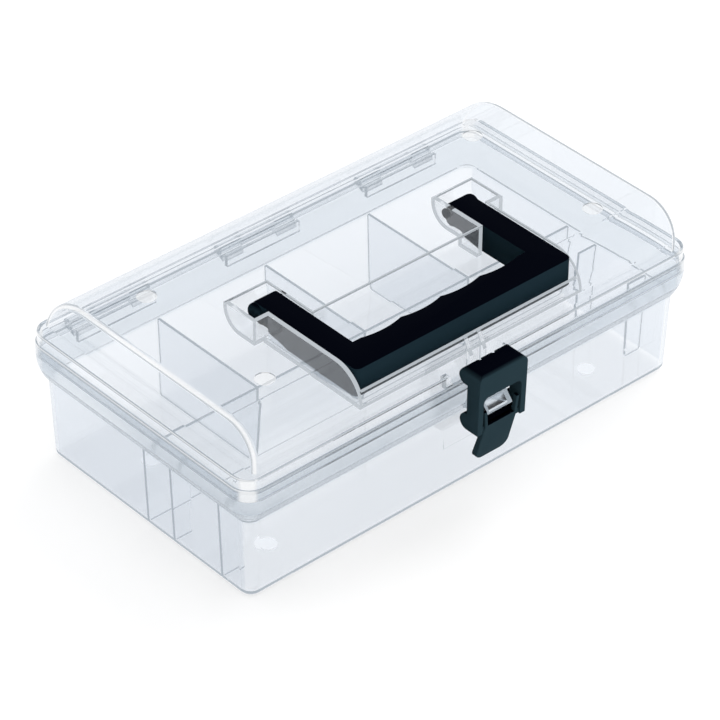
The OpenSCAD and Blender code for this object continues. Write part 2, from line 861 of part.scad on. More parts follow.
module carry_handle() {
    color([0.07, 0.09, 0.1]) placed() difference() {
        handle_solid();
        grip_scallops();
        handle_hollows();
    }
}

// Side of the latch: round at the pivot, a leaning front, and a lobe at the legs' lower back
module latch_side() {
    translate([latch_y, latch_z]) circle(latch_nose_r);
    translate([leg_back, lobe_z]) circle(lobe_r);
    translate([latch_front + latch_edge_r, latch_top - latch_edge_r]) circle(latch_edge_r);
    polygon([[latch_front, latch_top - latch_edge_r], [latch_front_at(leg_low), leg_low],
             [leg_back, leg_low], [leg_back, latch_z], [latch_front + latch_edge_r, latch_z]]);
    plate([latch_front + latch_edge_r, latch_z], [latch_y, latch_top]);
}

// Latch without its hollow: its side, front and plan give the roundings of their own edges
module latch_outside() {
    low = leg_low - over;
    back = latch_y + latch_nose_r;
    intersection() {
        along_x(latch_w) latch_side();
        along_y(latch_front - over, back + over) {
            arched_plate([-latch_w / 2, low], [latch_w / 2, latch_top], latch_corner_r);
        }
        translate([0, 0, low]) linear_extrude(latch_top + over - low) {
            arched_plate([-latch_w / 2, latch_y], [latch_w / 2, back], latch_side_r);
            mirror([0, 1]) {
                arched_plate([-latch_w / 2, -latch_y], [latch_w / 2, -latch_front], latch_side_r);
            }
        }
    }
}

// Hollow between the cheeks, open below, at the back, and over the lugs behind the pivot
module latch_hollow() {
    inner_r = max(latch_edge_r - latch_t, fine_r);
    low = leg_low - over;
    high = latch_top - latch_top_t;
    front = latch_front + latch_t;
    along_x(2 * latch_in) {
        polygon([[front, high - inner_r], [latch_front_at(low) + latch_t, low],
                 [rim_y, low], [rim_y, high - inner_r]]);
        plate([front + inner_r, latch_z], [rim_y, high]);
        translate([front + inner_r, high - inner_r]) circle(inner_r);
        plate([latch_y, low], [rim_y, latch_top + over]);
    }
}

// Opening in the front, as wide as the hollow, from the window's top to the legs' ends
module latch_window() {
    along_y(latch_front - over, leg_back) {
        arched_plate([-latch_in, leg_low - over], [latch_in, seam_height + window_top], window_r);
    }
}

// Side of the tongue: rails and crossbar behind the front face, then the leaning paddle
module tongue_side() {
    top_y = latch_front_at(rail_top);
    bar_y = latch_front_at(bar_top);
    polygon([[top_y, rail_top], [top_y + latch_t, rail_top], [bar_y + latch_t, bar_top],
             [bar_y + paddle_t, leg_low], [bar_y + paddle_lean + paddle_t, latch_low],
             [bar_y + paddle_lean, latch_low], [bar_y, bar_top]]);
}

// Front of the tongue: two rails on a crossbar, and the paddle with round lower corners
module tongue_front() {
    half = paddle_w / 2;
    inner = rail_gap / 2;
    polygon([[-inner - rail_w, bar_top], [inner + rail_w, bar_top], [half, latch_low + paddle_r],
             [half - paddle_r, latch_low + paddle_r], [half - paddle_r, latch_low],
             [paddle_r - half, latch_low], [paddle_r - half, latch_low + paddle_r],
             [-half, latch_low + paddle_r]]);
    for (side = [0, 1]) {
        mirror([side, 0]) {
            polygon([[inner, bar_top], [inner + rail_w, bar_top],
                     [inner + rail_w + rail_spread, rail_top], [inner + rail_spread, rail_top]]);
            translate([half - paddle_r, latch_low + paddle_r]) circle(paddle_r);
        }
    }
}

module latch_tongue() {
    intersection() {
        along_x(latch_w) tongue_side();
        along_y(latch_front - over, latch_y) tongue_front();
    }
    // Webs behind the grooves join crossbar and legs
    for (side = [-1, 1]) {
        inner = rail_gap / 2;
        along_x(latch_in - inner + embed, side * (latch_in + inner + embed) / 2) {
            polygon([[latch_front_at(bar_top) + groove_depth, bar_top],
                     [latch_front_at(leg_low) + groove_depth, leg_low],
                     [leg_back, leg_low], [leg_back, bar_top]]);
        }
    }
}

module latch() {
    color([0.07, 0.09, 0.1]) placed() {
        difference() {
            latch_outside();
            latch_hollow();
            latch_window();
            bar_x(latch_pin_r + pin_fit, 2 * (latch_pin_half + pin_fit), latch_y, latch_z);
        }
        latch_tongue();
    }
}

module latch_pin() {
    color([0.7, 0.72, 0.74]) placed() bar_x(latch_pin_r, 2 * latch_pin_half, latch_y, latch_z);
}

module hinge_pin(x) {
    color([0.7, 0.72, 0.74]) placed() bar_x(hinge_pin_r, hinge_l, hinge_y, hinge_z, x);
}

module hinge_pin_left() {
    hinge_pin(-hinge_span);
}

module hinge_pin_middle() {
    hinge_pin(0);
}

module hinge_pin_right() {
    hinge_pin(hinge_span);
}

base_tray();
lid();
carry_handle();
latch();
latch_pin();
hinge_pin_left();
hinge_pin_middle();
hinge_pin_right();
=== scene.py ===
"""Clear assortment case with a folding handle and a front latch, dressed for rendering."""
import json
import math

import bmesh
import bpy
from bpy.props import FloatProperty, FloatVectorProperty, IntProperty, PointerProperty
from mathutils import Matrix, Vector


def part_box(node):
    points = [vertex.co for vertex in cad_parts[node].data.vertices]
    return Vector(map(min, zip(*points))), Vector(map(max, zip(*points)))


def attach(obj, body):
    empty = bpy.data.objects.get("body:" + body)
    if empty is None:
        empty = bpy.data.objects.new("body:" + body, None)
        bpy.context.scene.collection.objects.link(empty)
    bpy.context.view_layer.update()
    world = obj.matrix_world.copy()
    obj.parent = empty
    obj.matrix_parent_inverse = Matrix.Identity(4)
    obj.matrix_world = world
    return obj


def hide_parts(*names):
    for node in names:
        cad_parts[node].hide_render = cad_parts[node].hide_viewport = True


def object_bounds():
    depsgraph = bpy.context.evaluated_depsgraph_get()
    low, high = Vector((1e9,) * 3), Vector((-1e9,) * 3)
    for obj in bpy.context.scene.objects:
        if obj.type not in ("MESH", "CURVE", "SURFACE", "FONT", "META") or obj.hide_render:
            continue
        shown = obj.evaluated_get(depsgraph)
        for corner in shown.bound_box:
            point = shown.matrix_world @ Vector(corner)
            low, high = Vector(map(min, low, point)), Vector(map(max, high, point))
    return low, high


bl_info = {
    "name": "Assortment Case",
    "version": (1, 0, 0),
    "blender": (4, 5, 0),
    "location": "View3D > Sidebar > Case",
    "description": "Builds the materials, moulded black pieces and studio of a clear assortment case",
    "category": "Object",
}

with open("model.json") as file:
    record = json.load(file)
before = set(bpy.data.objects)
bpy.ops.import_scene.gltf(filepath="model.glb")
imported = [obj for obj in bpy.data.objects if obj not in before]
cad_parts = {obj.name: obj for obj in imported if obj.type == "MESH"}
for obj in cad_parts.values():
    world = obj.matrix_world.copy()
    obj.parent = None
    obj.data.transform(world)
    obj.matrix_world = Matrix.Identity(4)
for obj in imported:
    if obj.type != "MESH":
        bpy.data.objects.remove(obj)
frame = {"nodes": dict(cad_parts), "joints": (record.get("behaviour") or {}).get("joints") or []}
NODES = frame["nodes"]
CAD_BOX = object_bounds()
PIVOTS = {joint["name"]: Vector(joint["pos_m"]) for joint in frame["joints"]}

MM_PER_M = 1000

# Camera fitted to the case's straight edges
EYE = Vector((-0.93312, -1.03079, 1.06364))
VIEW = Vector((0.536595, 0.597203, -0.596166))
HEADING = math.radians(41.94)
ROLL = math.radians(0.468)
LENS_MM = 189.53
SENSOR_MM = 36.0

# Heights that the clear plastic's looks follow
SEAM = PIVOTS["lid_hinge"].z
COLLAR_H = 0.0145
SKIRT_BAND_H = 0.006
BAND_FADE = 0.001
MARK_DEPTH = 0.0006
MARK_FLOOR = CAD_BOX[1].z - MARK_DEPTH
MARK_FADE = 0.0001

# Shares of a surface's normal, along X or up, over which a look sets in or ends
SHADED_END_WALL = (0.9, 0.98)
END_EDGE_START = (0.25, 0.5)
END_EDGE_STOP = (0.85, 0.97)
TURNED_UP = (0.05, 0.2)
MARK_LEVEL = (0.99, 0.999)
SHADED_BLACK_TOP = (0.35, 0.97)

# Turns after which light counts as lost inside the plastic
MIRRORED_TURNS = 2.5
ALL_TURNS = 9.5

WHITE = (1.0, 1.0, 1.0, 1.0)

# Light that clear walls let into their shadow
VEIL = (0.87, 0.88, 0.89, 1.0)

# Both multiply the plastic's tint: in the bands at the seam, and as painted shade in the stacking
# marks' upright rings
BAND_TINT = (0.84, 0.87, 0.895)
MARK_RING_SHADE = 0.5

# Range of roughness over the black plastic's grain and over the wire's lines
GRAIN_SPREAD = 0.1
WIRE_SPREAD = 0.15

# Angles from which an edge is rounded, and from which it shows as a crease
ROUNDED_FROM = math.radians(40)
CREASE_FROM = math.radians(42)

# Cutters run past what they cut, or right through it
OVERRUN = 0.001
THROUGH = 0.02

# Underside of the end of a handle's arm, from the back: y and z from the pivot, in mm
HEEL_MM = [(3.1, 1.0), (2.9, -2.0), (2.2, -4.5), (0.7, -6.2), (-1.4, -6.85), (-3.6, -6.1),
           (-8.0, -6.0), (-10.4, -7.4), (-17.8, -8.5)]

# Slots in the latch's nose: where they start round the pivot, and how far the cutter reaches
SLOT_START = math.radians(76)
SLOT_REACH = 0.012

FLOOR_HALF = 4.0
FLOOR_GREY = (0.9, 0.9, 0.9, 1.0)

# Place and size of each lamp
KEY_LAMP = ((1.2, 0.3, 1.4), (1.2, 1.2))
FRONT_LAMP = ((-0.2, -1.7, 0.8), (1.4, 0.8))


def length(name, text, mm):
    return FloatProperty(name=name, description=text, default=mm / MM_PER_M, min=0.0,
                         unit="LENGTH")


def share(name, text, value):
    return FloatProperty(name=name, description=text, default=value, min=0.0, max=1.0,
                         subtype="FACTOR")


def colour(name, text, value):
    return FloatVectorProperty(name=name, description=text, default=value, size=3, min=0.0,
                               max=1.0, subtype="COLOR")


class HandleSizes(bpy.types.PropertyGroup):
    """Sizes of the carry handle"""

    width: length("Width", "Over both arms", 128.8)
    arm_w: length("Arm width", "Width of each arm", 12.8)
    front: length("Front", "Front of the grip bar before the pivot", 66.4)
    back: length("Grip back", "Back of the grip bar before the pivot", 49.4)
    arm_back: length("Arm back", "How far the arms reach behind the pivot", 3.0)
    back_edge: length("Back edge", "Radius of the arms' top rear edge", 2.4)
    heel_end: length("Heel end", "Where the arms' heels run out before the pivot", 22.0)
    corner: length("Corners", "Radius of the upright front corners", 3.0)
    rear_corner: length("Rear corners", "Radius of the arms' upright rear corners", 2.2)
    edge: length("Edges", "Width of the rounding on the grip's and arms' edges", 1.3)
    wave_w: length("Scallop width", "Width of one finger scallop", 23.5)
    wave_depth: length("Scallop depth", "Depth of the finger scallops", 1.6)
    waves: IntProperty(name="Scallops", description="Number of finger scallops", default=4, min=1)
    wall: length("Wall", "Thickness of the hollow underside's walls", 2.2)
    skin: length("Skin", "Thickness of the top", 2.8)
    cells: IntProperty(name="Cells", description="Number of hollows in the grip", default=6, min=1)
    arm_cell: length("Arm hollow", "Back end of the arms' hollows before the pivot", 26.0)
    boss_r: length("Boss radius", "Radius of the round ends outside the arms", 4.2)
    boss_l: length("Boss length", "How far the round ends stand out", 2.6)
    boss_edge: length("Boss edge", "Radius of the round ends' outer edge", 2.2)
    pin_r: length("Pin radius", "Radius of the pins in the recess walls", 2.45)
    pin_l: length("Pin length", "How far the pins stand in", 3.0)
    root: length("Root", "How far the round ends and the pins start inside the arms", 0.6)
    end_edge: length("End edges", "Width of the rounding on the round ends and pins", 0.2)


class LatchSizes(bpy.types.PropertyGroup):
    """Sizes of the front latch, measured from its pivot"""

    nose_r: length("Nose", "Radius round the pivot", 4.2)
    front: length("Front", "Front face before the pivot", 9.2)
    lean: length("Lean", "How far the front leans in towards the legs' ends", 0.8)
    edge_r: length("Top edge", "Radius of the top front edge", 3.0)
    corner_r: length("Top corners", "Radius of the top corners seen from the front", 4.5)
    leg_end: length("Leg end", "Lower end of the legs below the pivot", 28.3)
    leg_back: length("Leg back", "Back of the legs before the pivot", 1.2)
    lobe_r: length("Lobe", "Radius of the lobes at the legs' lower back", 4.3)
    wall: length("Wall", "Thickness of the front", 2.4)
    skin: length("Skin", "Thickness of the top", 1.4)
    cheek: length("Cheek", "Thickness of the cheeks", 3.0)
    inner_edge: length("Inner edge", "Chamfer inside the top front edge", 0.6)
    open_back: length("Open back", "How far behind the pivot the inside is cut open", 13.0)
    slot_w: length("Slot width", "Width of each slot that clears a lug", 2.3)
    slot_x: length("Slot place", "Middle of each slot from the latch's middle", 4.0)
    window_top: length("Window top", "Top of the window below the pivot", 8.9)
    window_r: length("Window corners", "Radius of the window's top corners", 3.0)
    rail_top: length("Rail top", "Top of the rails below the pivot", 17.1)
    rail_gap: length("Rail gap", "Opening between the rails", 16.0)
    rail_w: length("Rail width", "Width of each rail", 1.6)
    rail_spread: length("Rail spread", "How far each rail spreads towards its top", 0.9)
    bar_top: length("Bar top", "Top of the crossbar below the pivot", 25.2)
    bar_back: length("Bar back", "Lower rear edge of the crossbar above the legs' ends", 3.7)
    bar_low: length("Bar low", "Lower rear edge of the crossbar before the legs' back", 3.5)
    bar_high: length("Bar high", "Upper rear edge of the crossbar before the legs' back", 4.5)
    bar_root: length("Bar root", "How far the crossbar runs into the cheeks", 0.5)
    bar_edge: length("Bar edges", "Width of the rounding on the crossbar", 0.3)
    groove: length("Groove", "Depth of the grooves beside the paddle", 1.0)
    end: length("Paddle end", "Lower end of the paddle below the pivot", 47.5)
    paddle_lean: length("Paddle lean", "How far the paddle leans in", 6.0)
    paddle_w: length("Paddle width", "Width of the paddle at its end", 19.4)
    paddle_r: length("Paddle corners", "Radius of the paddle's corners", 4.4)
    paddle_t: length("Paddle thickness", "Thickness of the paddle", 3.4)
    edge: length("Edges", "Width of the rounding on the shell's edges", 0.9)
    paddle_edge: length("Paddle edges", "Width of the rounding on rails and paddle", 0.675)


class Finishes(bpy.types.PropertyGroup):
    """Colours and gloss of the case"""

    base: colour("Base", "Tint of the clear base", (0.985, 0.988, 0.99))
    # Painted shade: a darker tint on the base's walls that face along X
    shaded_base_ends: colour("Base ends", "Tint of its walls across the case", (0.86, 0.88, 0.905))
    # Painted light: the pale colour that rays lost in the base's cut edges end in
    painted_base_edge_light: colour("Base edges", "Light out of the base's cut edges", (0.4, 0.45, 0.5))
    lid: colour("Lid", "Tint of the clear lid", (0.965, 0.97, 0.975))
    # Painted light: the same for the lid's cut edges
    painted_lid_edge_light: colour("Lid edges", "Light out of the lid's cut edges", (0.5, 0.54, 0.58))
    haze: share("Haze", "Roughness of the moulded bands at the seam", 0.16)
    polish: share("Polish", "Roughness of the base's clear walls", 0.03)
    lid_polish: share("Lid polish", "Roughness of the lid's clear walls", 0.021)
    # Painted highlight: share of white emission in the lid's rounded end edges and mark floors
    painted_glint: share("Glint", "Share of white light in end edges and mark floors", 0.45)
    black: colour("Handle black", "Upright faces of the handle", (0.008, 0.018, 0.025))
    latch: colour("Latch black", "Upright faces of the latch", (0.015, 0.03, 0.038))
    # Painted shade: level faces of the black pieces are darker than their upright faces
    shaded_black_top: colour("Black tops", "Level faces of the black pieces", (0.0004, 0.0008, 0.0026))
    satin: share("Satin", "Roughness of the black pieces", 0.42)
    wire: colour("Wire", "Colour of the pins", (0.7, 0.71, 0.72))
    drawn: share("Drawn", "Least roughness of the pins", 0.25)


class StudioSet(bpy.types.PropertyGroup):
    """Light and floor"""

    sky: FloatProperty(name="Sky", description="Strength of the soft light", default=0.95, min=0)
    key: FloatProperty(name="Key", description="Power of the lamp behind", default=22, min=0,
                       unit="POWER")
    fill: FloatProperty(name="Fill", description="Power of the lamp in front", default=12, min=0,
                        unit="POWER")
    glow: share("Floor glow", "Share of the floor that shows white without light", 0.55)
    glow_inside: share("Inner glow", "The same share for the floor seen through plastic", 0.75)
    cool: colour("Surroundings", "What clear plastic mirrors and shows", (0.905, 0.94, 0.99))


class Sock:
    """A socket that shader maths is written with."""

    def __init__(self, tree, socket):
        self.tree = tree
        self.socket = socket

    def _maths(self, operation, *operands):
        return self.tree.node("ShaderNodeMath", {"operation": operation}, *operands)

    def __add__(self, other):
        return self._maths("ADD", self, other)

    def __radd__(self, other):
        return self._maths("ADD", other, self)

    def __sub__(self, other):
        return self._maths("SUBTRACT", self, other)

    def __rsub__(self, other):
        return self._maths("SUBTRACT", other, self)

    def __mul__(self, other):
        return self._maths("MULTIPLY", self, other)

    def __rmul__(self, other):
        return self._maths("MULTIPLY", other, self)

    def __or__(self, other):
        return self._maths("MAXIMUM", self, other)

    def __ror__(self, other):
        return self._maths("MAXIMUM", other, self)


class Tree:
    """A node tree that is filled with one method."""

    def __init__(self, owner):
        owner.use_nodes = True
        self.nodes = owner.node_tree.nodes
        self.links = owner.node_tree.links
        self.nodes.clear()

    def node(self, kind, settings=None, *values, output=0, **named):
        """Makes a node and returns one of its outputs, or all of them where output is None."""
        made = self.nodes.new(kind)
        for name, value in (settings or {}).items():
            setattr(made, name, value)
        for index, value in enumerate(values):
            self._set(made.inputs[index], value)
        for name, value in named.items():
            key = int(name) if name.isdigit() else name.replace("_", " ")
            self._set(made.inputs[key], value)
        if output is None or not made.outputs:
            return [Sock(self, out) for out in made.outputs]
        return Sock(self, made.outputs[output])

    def _set(self, socket, value):
        if isinstance(value, Sock):
            self.links.new(value.socket, socket)
        else:
            socket.default_value = value

    def mix(self, factor, a, b):
        """Shader a where the factor is 0, and b where it is 1."""
        return self.node("ShaderNodeMixShader", None, factor, a, b)


def level(tree, value, low, high):
    """0 at low and 1 at high, with a soft step between."""
    return tree.node("ShaderNodeMapRange", {"interpolation_type": "SMOOTHSTEP"},
                     value, low, high, 0.0, 1.0)


def rgba(tint):
    """A link as it is, and three numbers with a full alpha."""
    return tint if isinstance(tint, Sock) else (*tint, 1.0)


def blend_colour(tree, factor, a, b):
    return tree.node("ShaderNodeMix", {"data_type": "RGBA"}, factor, output=2,
                     **{"6": rgba(a), "7": rgba(b)})


def axes(tree, vector):
    """The X, Y and Z of a vector."""
    return tree.node("ShaderNodeSeparateXYZ", None, vector, output=None)


def clear_plastic(name, tint, ends, roughness, edge, band, haze, painted_glint):
    """Clear moulded polystyrene: a hazier band at the seam, painted shade on its end walls and mark
    rings, and a painted white highlight in its end edges and mark floors.
    """
    material = bpy.data.materials.new(name)
    tree = Tree(material)
    place = tree.node("ShaderNodeTexCoord", output="Object")
    height = axes(tree, place)[2]
    along, _, up = axes(tree, tree.node("ShaderNodeTexCoord", output="Normal"))
    lean = tree.node("ShaderNodeMath", {"operation": "ABSOLUTE"}, along)
    flow = tree.node("ShaderNodeTexNoise", None, Vector=place, Scale=14.0, Detail=2.0)
    wave = tree.node("ShaderNodeBump", None, Height=flow, Strength=0.05, Distance=0.0006)
    low, high = band
    rim = level(tree, height, low - 2 * BAND_FADE, low + BAND_FADE) \
        * (1.0 - level(tree, height, high - BAND_FADE, high + BAND_FADE))
    # Walls facing along X get the darker ends tint as painted shade
    wall = blend_colour(tree, level(tree, lean, *SHADED_END_WALL), tint, ends)
    # The upright rings of the stacking marks get a darker tint as painted shade
    cut = (1.0 - level(tree, up, *TURNED_UP)) \
        * level(tree, height, MARK_FLOOR - MARK_FADE, MARK_FLOOR + MARK_FADE)
    rings = blend_colour(tree, cut, wall, [MARK_RING_SHADE * value for value in tint])
    tone = blend_colour(tree, rim, rings, [a * b for a, b in zip(tint, BAND_TINT)])
    plastic = tree.node(
        "ShaderNodeBsdfPrincipled", None, Base_Color=tone, Roughness=rim * haze + roughness,
        IOR=1.5, Transmission_Weight=1.0, Normal=wave)
    # Rays that have turned many times end in a pale emitted colour, painted light that keeps cut
    # edges from going black
    turns = tree.node("ShaderNodeLightPath", output="Glossy Depth")
    depth = tree.node("ShaderNodeLightPath", output="Ray Depth")
    lost = tree.node("ShaderNodeMath", {"operation": "GREATER_THAN"}, turns, MIRRORED_TURNS) \
        | tree.node("ShaderNodeMath", {"operation": "GREATER_THAN"}, depth, ALL_TURNS)
    glow = tree.node("ShaderNodeEmission", None, rgba(edge), 1.0)
    shadow = tree.node("ShaderNodeLightPath", output="Is Shadow Ray")
    veil = tree.node("ShaderNodeBsdfTransparent", None, VEIL)
    # Rounded end edges and the floors of the stacking marks get a painted white highlight, an
    # emission picked by the surface's own direction and height
    rounded = level(tree, lean, *END_EDGE_START) * (1.0 - level(tree, lean, *END_EDGE_STOP))
    painted_mark_floors = level(tree, up, *MARK_LEVEL) \
        * level(tree, height, MARK_FLOOR - 4 * MARK_FADE, MARK_FLOOR - 2 * MARK_FADE) \
        * (1.0 - level(tree, height, MARK_FLOOR + MARK_FADE, MARK_FLOOR + 4 * MARK_FADE))
    painted_highlight = tree.node("ShaderNodeEmission", None, WHITE, 1.0)
    seen = tree.mix((rounded | painted_mark_floors) * painted_glint, plastic, painted_highlight)
    inside = tree.mix(lost, seen, glow)
    tree.node("ShaderNodeOutputMaterial", None, tree.mix(shadow, inside, veil))
    return material


def black_plastic(name, side, top, roughness):
    """Black moulded plastic with a satin skin, and painted shade that makes its level faces darker
    than its upright ones.
    """
    material = bpy.data.materials.new(name)
    tree = Tree(material)
    place = tree.node("ShaderNodeTexCoord", output="Object")
    up = axes(tree, tree.node("ShaderNodeTexCoord", output="Normal"))[2]
    # Level faces get the darker top colour as painted shade
    flat = level(tree, up, *SHADED_BLACK_TOP)
    grain = tree.node("ShaderNodeTexNoise", None, Vector=place, Scale=2200.0, Detail=2.0)
    bump = tree.node("ShaderNodeBump", None, Height=grain, Strength=0.12, Distance=0.0001)
    plastic = tree.node(
        "ShaderNodeBsdfPrincipled", None, Base_Color=blend_colour(tree, flat, side, top),
        Roughness=grain * GRAIN_SPREAD + (roughness - GRAIN_SPREAD / 2),
        Specular_IOR_Level=0.004, Normal=bump)
    tree.node("ShaderNodeOutputMaterial", None, plastic)
    return material


def steel(name, tint, roughness):
    """Drawn wire."""
    material = bpy.data.materials.new(name)
    tree = Tree(material)
    place = tree.node("ShaderNodeTexCoord", output="Object")
    lines = tree.node("ShaderNodeTexNoise", None, Vector=place, Scale=900.0)
    metal = tree.node(
        "ShaderNodeBsdfPrincipled", None, Base_Color=rgba(tint), Metallic=1.0,
        Roughness=lines * WIRE_SPREAD + roughness)
    tree.node("ShaderNodeOutputMaterial", None, metal)
    return material


def dress(piece, material):
    """Puts a material in every slot of a piece."""
    if not piece.material_slots:
        piece.data.materials.append(material)
    for slot in piece.material_slots:
        slot.material = material


def arc(centre, r, start, end, steps=8):
    """Points on a circle from one angle to another, in degrees."""
    angles = [math.radians(start + (end - start) * i / steps) for i in range(steps + 1)]
    return [(centre[0] + r * math.cos(a), centre[1] + r * math.sin(a)) for a in angles]


def new_piece(name, points, faces):
    """A mesh object whose faces all point outwards."""
    mesh = bpy.data.meshes.new(name)
    mesh.from_pydata(points, [], faces)
    work = bmesh.new()
    work.from_mesh(mesh)
    bmesh.ops.recalc_face_normals(work, faces=work.faces[:])
    work.to_mesh(mesh)
    work.free()
    piece = bpy.data.objects.new(name, mesh)
    bpy.context.scene.collection.objects.link(piece)
    return piece


def prism(name, outline, axis, low, high):
    """Runs an outline along X, Y or Z. It is drawn in the other two axes, in their order."""
    turn = {"X": lambda t, p: (t, *p), "Y": lambda t, p: (p[0], t, p[1]),
            "Z": lambda t, p: (*p, t)}[axis]
    count = len(outline)
    points = [turn(t, p) for t in (low, high) for p in outline]
    faces = [list(range(count)), list(range(count, 2 * count))]
    for i in range(count):
        j = (i + 1) % count
        faces.append([i, j, count + j, count + i])
    return new_piece(name, points, faces)


def turned(name, profile, centre, count=40):
    """Turns a profile of (x, radius) about an axis along X."""
    points = []
    for x, r in profile:
        points += [(x, y, z) for y, z in arc((centre.y, centre.z), r, 0, 360, count)[:-1]]
    faces = [list(range(count)), list(range(len(points) - count, len(points)))]
    for ring in range(len(profile) - 1):
        for i in range(count):
            a, b = ring * count + i, ring * count + (i + 1) % count
            faces.append([a, b, b + count, a + count])
    return new_piece(name, points, faces)


def bake(piece):
    """Turns a piece's modifiers into mesh."""
    graph = bpy.context.evaluated_depsgraph_get()
    mesh = bpy.data.meshes.new_from_object(piece.evaluated_get(graph))
    piece.modifiers.clear()
    piece.data = mesh


def carve(piece, other, operation="DIFFERENCE"):
    """Cuts a piece with another one, which is used up."""
    cut = piece.modifiers.new("carve", "BOOLEAN")
    cut.object = other
    cut.operation = operation
    cut.solver = "EXACT"
    bake(piece)
    bpy.data.objects.remove(other)


def soften(piece, width, segments=3):
    """Rounds a piece's sharp edges and shades it smooth."""
    bevel = piece.modifiers.new("edges", "BEVEL")
    bevel.width = width
    bevel.segments = segments
    bevel.limit_method = "ANGLE"
    bevel.angle_limit = ROUNDED_FROM
    bake(piece)
    piece.data.polygons.foreach_set("use_smooth", [True] * len(piece.data.polygons))
    piece.data.set_sharp_from_angle(angle=CREASE_FROM)


def merge(name, pieces):
    """Makes one piece of several."""
    work = bmesh.new()
    for piece in pieces:
        work.from_mesh(piece.data)
        bpy.data.objects.remove(piece)
    mesh = bpy.data.meshes.new(name)
    work.to_mesh(mesh)
    work.free()
    made = bpy.data.objects.new(name, mesh)
    bpy.context.scene.collection.objects.link(made)
    return made


def handle_plan(sizes, half, y, back):
    """The handle seen from above: a U with scallops in its grip."""
    inner = half - sizes.arm_w
    front, grip = y - sizes.front, y - sizes.back
    bend, rear = sizes.corner, sizes.rear_corner
    outline = arc((bend - half, front + bend), bend, 180, 270)
    outline += arc((half - bend, front + bend), bend, 270, 360)
    outline += arc((half - rear, back - rear), rear, 0, 90, steps=5)
    outline += arc((inner + rear, back - rear), rear, 90, 180, steps=5)
    depth, reach = sizes.wave_depth, sizes.wave_w / 2
    wave_r = (reach * reach + depth * depth) / (2 * depth)
    spread = math.degrees(math.asin(reach / wave_r))
    outline.append((inner, grip))
    for i in range(sizes.waves):
        middle = (sizes.waves - 1 - 2 * i) * reach
        outline += arc((middle, grip - depth + wave_r), wave_r, 270 + spread, 270 - spread,
                       steps=12)
    outline.append((-inner, grip))
    outline += arc((-inner - rear, back - rear), rear, 0, 90, steps=5)
    outline += arc((rear - half, back - rear), rear, 90, 180, steps=5)
    return outline


def build_handle(sizes, material):
    """A hollow U with round ends and pins, cut to its side view."""
    pivot = PIVOTS["handle_pivot"]
    low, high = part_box("carry_handle")
    top, under = high.z, low.z
    half = sizes.width / 2
    y, z = pivot.y, pivot.z
    back, bend = y + sizes.arm_back, sizes.back_edge
    before = y - sizes.front - OVERRUN
    side = [(before, under), (before, top)]
    side += arc((back - bend, top - bend), bend, 90, 0, steps=6)
    side += [(y + behind / MM_PER_M, z + above / MM_PER_M) for behind, above in HEEL_MM]
    side.append((y - sizes.heel_end, under))
    piece = prism("handle", handle_plan(sizes, half, y, back), "Z", under - OVERRUN, top + OVERRUN)
    carve(piece, prism("side", side, "X", -half - OVERRUN, half + OVERRUN), "INTERSECT")
    ceiling, wall = top - sizes.skin, sizes.wall
    cells = []
    pitch = (2 * half - wall) / sizes.cells
    front, grip = y - sizes.front + wall, y - sizes.back - sizes.wave_depth - wall
    for i in range(sizes.cells):
        start = -half + wall + i * pitch
        cells.append(((start, front), (start + pitch - wall, grip)))
    for sign in (-1, 1):
        middle = sign * (half - sizes.arm_w / 2)
        reach = sizes.arm_w / 2 - wall
        cells.append(((middle - reach, y - sizes.back + wall),
                      (middle + reach, y - sizes.arm_cell)))
    boxes = [prism("cell", [a, (b[0], a[1]), b, (a[0], b[1])], "Z", under - OVERRUN, ceiling)
             for a, b in cells]
    carve(piece, merge("cells", boxes))
    soften(piece, sizes.edge, segments=4)
    parts = [piece]
    for sign in (-1, 1):
        bend = sizes.boss_edge
        boss = [(half - sizes.root, sizes.boss_r)]
        boss += arc((half + sizes.boss_l - bend, sizes.boss_r - bend), bend, 0, 90, steps=6)[::-1]
        parts.append(turned("boss", [(sign * x, r) for x, r in boss], pivot))
        inner = half - sizes.arm_w
        pin = [(inner + sizes.root, sizes.pin_r), (inner - sizes.pin_l, sizes.pin_r)]
        parts.append(turned("pin", [(sign * x, r) for x, r in pin], pivot))
    for part in parts[1:]:
        soften(part, sizes.end_edge, segments=2)
    handle = merge("handle", parts)
    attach(handle, "handle")
    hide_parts("carry_handle")
    dress(handle, material)


